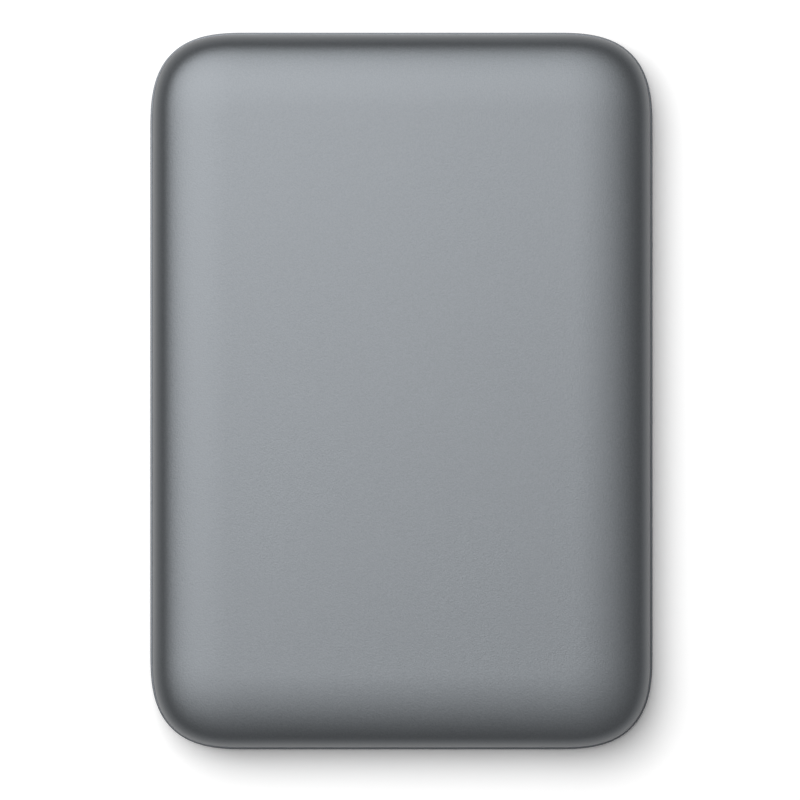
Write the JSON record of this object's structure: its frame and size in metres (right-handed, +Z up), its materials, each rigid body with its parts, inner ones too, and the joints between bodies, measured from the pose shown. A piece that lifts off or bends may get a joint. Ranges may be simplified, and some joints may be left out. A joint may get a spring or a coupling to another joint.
{
  "type": "portable external hard drive",
  "caption": "Palm-sized portable hard drive in a grey pillow-shaped plastic case, lying flat on rubber feet, with its disc drive, bridge board and USB socket inside.",
  "frame": {"origin": "centre of the case on the surface that its four rubber feet rest on", "axes": "+Z up through the crowned top cover, +Y along the long side towards the USB socket, +X to the right seen from above with the socket away from the viewer"},
  "size_m": [0.081, 0.1156, 0.0148],
  "materials": {
    "cover_plastic": "satin, fine moulded grain",
    "tray_plastic": "satin, fine moulded grain",
    "foot_rubber": "matt",
    "pad_rubber": "matt",
    "circuit_board": "solder mask",
    "chip_plastic": "matt moulded",
    "tinned_steel": "tinned",
    "connector_plastic": "matt",
    "led_body": "diffuse",
    "clear_plastic": "frosted clear",
    "cast_alloy": "die cast",
    "lid_steel": "brushed",
    "gasket_rubber": "matt",
    "dark_screws": "blackened",
    "bronze": "turned",
    "polished_steel": "polished",
    "turned_alloy": "machined",
    "core_steel": "plated",
    "copper_wire": "enamelled winding",
    "magnet": "nickel plated",
    "mirror_disc": "mirror polished",
    "slider_ceramic": "lapped",
    "ramp_plastic": "natural",
    "filter_felt": "felt",
    "flex_film": "amber film"
  },
  "bodies": {
    "root": {"top_cover": "cover_plastic", "bottom_cover": "tray_plastic", "foot_front_left": "foot_rubber", "foot_front_right": "foot_rubber", "foot_rear_left": "foot_rubber", "foot_rear_right": "foot_rubber", "pad_front_left": "pad_rubber", "pad_front_right": "pad_rubber", "pad_rear_left": "pad_rubber", "pad_rear_right": "pad_rubber", "bridge_board": "circuit_board", "bridge_chip": "chip_plastic", "flash_chip": "chip_plastic", "crystal": "tinned_steel", "voltage_regulator": "chip_plastic", "sata_socket": "connector_plastic", "usb_shell": "tinned_steel", "usb_tongue": "connector_plastic", "status_led": "led_body", "light_pipe": "clear_plastic", "drive_base": "cast_alloy", "drive_lid": "lid_steel", "lid_gasket": "gasket_rubber", "lid_screws": "dark_screws", "spindle_sleeve": "bronze", "stator_core": "core_steel", "stator_coils": "copper_wire", "pivot_shaft": "polished_steel", "lower_yoke": "core_steel", "upper_yoke": "core_steel", "lower_magnet": "magnet", "upper_magnet": "magnet", "load_ramp": "ramp_plastic", "crash_stop": "gasket_rubber", "air_filter": "filter_felt", "breather_filter": "filter_felt", "flex_bracket": "connector_plastic", "flex_ribbon": "flex_film", "drive_board": "circuit_board", "board_screws": "dark_screws", "sata_plug": "connector_plastic", "controller_chip": "chip_plastic", "motor_driver_chip": "chip_plastic", "memory_chip": "chip_plastic"},
    "disc_stack": {"spindle_shaft": "polished_steel", "spindle_hub": "turned_alloy", "rotor_magnet": "magnet", "lower_disc": "mirror_disc", "disc_spacer": "turned_alloy", "upper_disc": "mirror_disc", "disc_clamp": "turned_alloy", "clamp_screws": "dark_screws"},
    "head_carriage": {"head_arm": "turned_alloy", "suspensions": "polished_steel", "slider_heads": "slider_ceramic", "voice_coil": "copper_wire", "pivot_cartridge": "polished_steel", "pivot_bearings": "polished_steel"}
  },
  "joints": [
    {"name": "disc_spin", "type": "hinge", "parent": "root", "child": "disc_stack", "pos_m": [0, -0.0178, 0.0052], "axis": [0, 0, 1], "continuous": true},
    {"name": "arm_swing", "type": "hinge", "parent": "root", "child": "head_carriage", "pos_m": [-0.014, 0.0263, 0.0052], "axis": [0, 0, 1], "range_deg": [-32, 0]}
  ]
}
